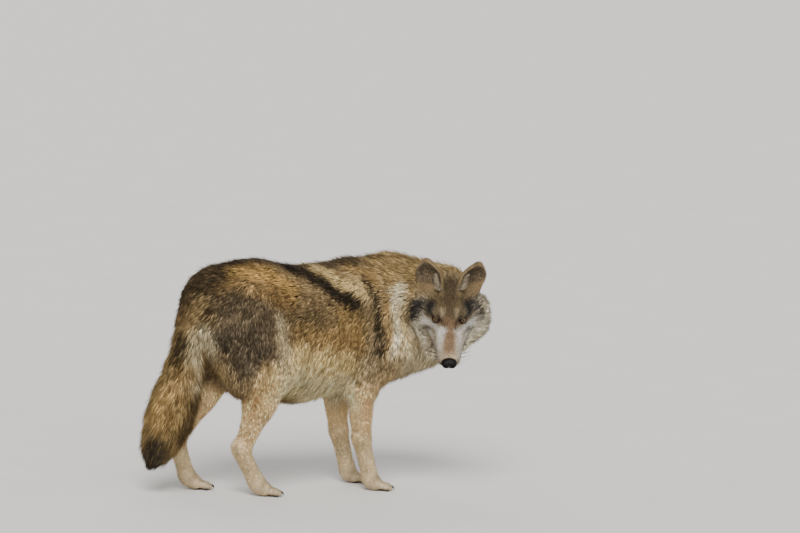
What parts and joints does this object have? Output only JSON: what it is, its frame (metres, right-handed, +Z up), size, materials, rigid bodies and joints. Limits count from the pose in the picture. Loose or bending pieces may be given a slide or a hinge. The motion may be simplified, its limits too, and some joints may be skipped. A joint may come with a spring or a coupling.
{
  "type": "wolf",
  "caption": "Life-size still model of a grey wolf in winter coat, standing on four paws with its head turned back over its right shoulder.",
  "frame": {"origin": "on the floor under the centre of the model's bounding box, at the level of the paws' soles", "axes": "+X is the way the body faces, +Y its left side, +Z up"},
  "size_m": [1.147, 0.5182, 0.755],
  "materials": {
    "coat_saddle": "matte",
    "coat_mane": "matte",
    "coat_face": "matte",
    "coat_ear": "matte",
    "coat_leg": "matte",
    "iris": "gloss",
    "horn": "satin"
  },
  "bodies": {
    "root": {"trunk": "coat_saddle", "neck": "coat_mane", "head": "coat_face", "nose": "horn", "ear_right": "coat_ear", "eye_right": "iris", "foreleg_right": "coat_leg", "hindleg_right": "coat_leg", "paw_fore_right": "coat_leg", "paw_hind_right": "coat_leg", "ear_left": "coat_ear", "eye_left": "iris", "foreleg_left": "coat_leg", "hindleg_left": "coat_leg", "paw_fore_left": "coat_leg", "paw_hind_left": "coat_leg", "tail": "coat_mane"}
  },
  "joints": []
}
